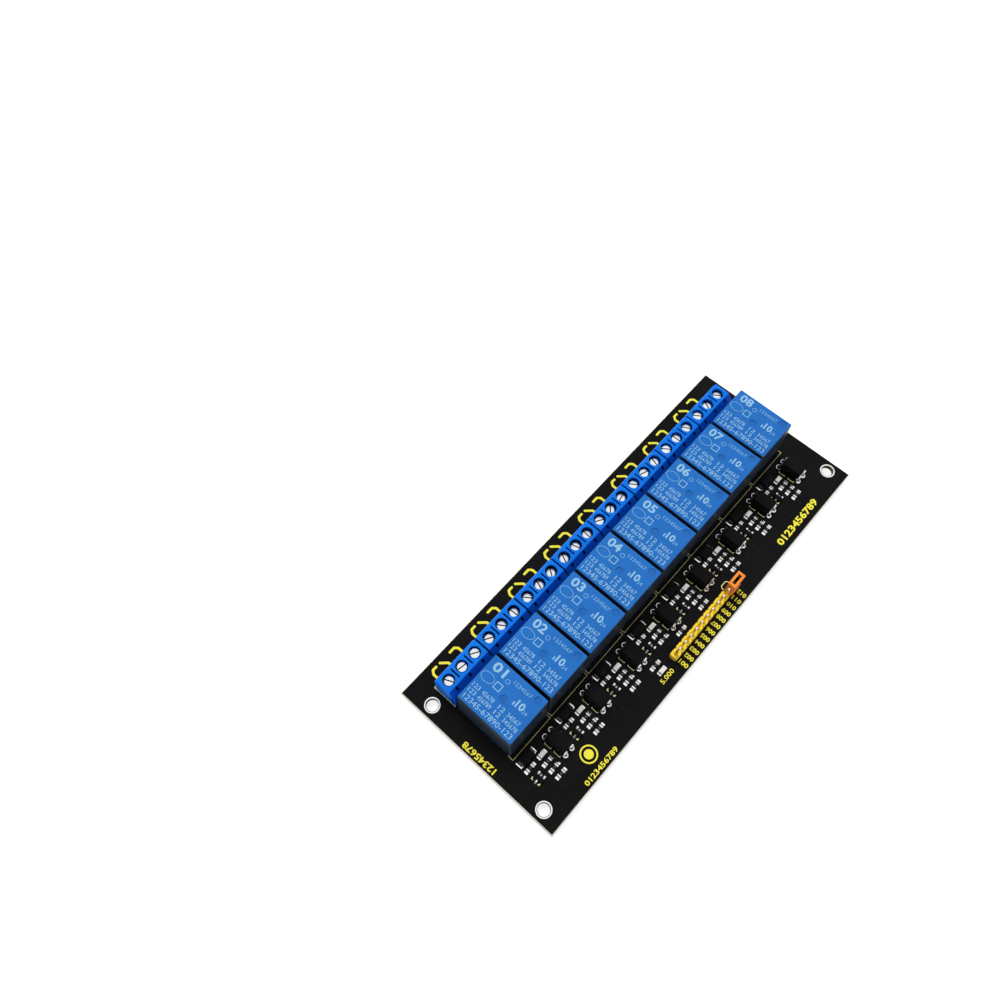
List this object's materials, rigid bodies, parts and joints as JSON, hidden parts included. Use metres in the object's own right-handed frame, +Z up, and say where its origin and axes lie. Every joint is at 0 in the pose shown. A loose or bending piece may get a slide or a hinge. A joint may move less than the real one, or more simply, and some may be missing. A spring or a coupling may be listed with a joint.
{
  "type": "relay module board",
  "caption": "Black circuit board with a row of blue sealed relays, screw terminals along one long edge, small drive parts and a pin header along the other.",
  "frame": {"origin": "below the middle of the board, level with the soldered tips that the board stands on", "axes": "+X along the row of relays, +Y from the pin header towards the screw terminals, +Z up out of the board's top"},
  "size_m": [0.1416, 0.0554, 0.0192],
  "materials": {
    "board": "satin black solder mask on a cream glass-fibre core",
    "relay_case": "smooth blue moulded case, light-blue print on top",
    "relay_base": "dark blue moulded base",
    "terminal_body": "satin blue moulding",
    "tinned_pin": "bright tin plating",
    "cage_metal": "nickel plating",
    "screw_metal": "bright nickel plating",
    "coupler_body": "moulded black",
    "black_mould": "moulded black",
    "chip_resistor": "black glaze between tinned ends",
    "lamp": "clear moulding on a white carrier",
    "header_body": "yellow moulding",
    "header_pin": "thin gold plating",
    "jumper_body": "orange moulding",
    "jumper_spring": "tinned spring metal"
  },
  "bodies": {
    "root": {"channel_lamps": "lamp", "chip_resistors": "chip_resistor", "circuit_board": "board", "diode_leads": "tinned_pin", "flyback_diode_1": "black_mould", "flyback_diode_2": "black_mould", "flyback_diode_3": "black_mould", "flyback_diode_4": "black_mould", "flyback_diode_5": "black_mould", "flyback_diode_6": "black_mould", "flyback_diode_7": "black_mould", "flyback_diode_8": "black_mould", "header_pins": "header_pin", "header_strip": "header_body", "jumper_cap": "jumper_body", "jumper_clip": "jumper_spring", "optocoupler_1": "coupler_body", "optocoupler_2": "coupler_body", "optocoupler_3": "coupler_body", "optocoupler_4": "coupler_body", "optocoupler_5": "coupler_body", "optocoupler_6": "coupler_body", "optocoupler_7": "coupler_body", "optocoupler_8": "coupler_body", "optocoupler_leads": "tinned_pin", "power_lamp": "lamp", "relay_base_1": "relay_base", "relay_base_2": "relay_base", "relay_base_3": "relay_base", "relay_base_4": "relay_base", "relay_base_5": "relay_base", "relay_base_6": "relay_base", "relay_base_7": "relay_base", "relay_base_8": "relay_base", "relay_cover_1": "relay_case", "relay_cover_2": "relay_case", "relay_cover_3": "relay_case", "relay_cover_4": "relay_case", "relay_cover_5": "relay_case", "relay_cover_6": "relay_case", "relay_cover_7": "relay_case", "relay_cover_8": "relay_case", "relay_pins": "tinned_pin", "terminal_cages": "cage_metal", "terminal_housing_1": "terminal_body", "terminal_housing_2": "terminal_body", "terminal_housing_3": "terminal_body", "terminal_housing_4": "terminal_body", "terminal_housing_5": "terminal_body", "terminal_housing_6": "terminal_body", "terminal_housing_7": "terminal_body", "terminal_housing_8": "terminal_body", "terminal_legs": "tinned_pin", "terminal_screws": "screw_metal", "transistor_leads": "tinned_pin", "transistors": "black_mould"}
  },
  "joints": []
}
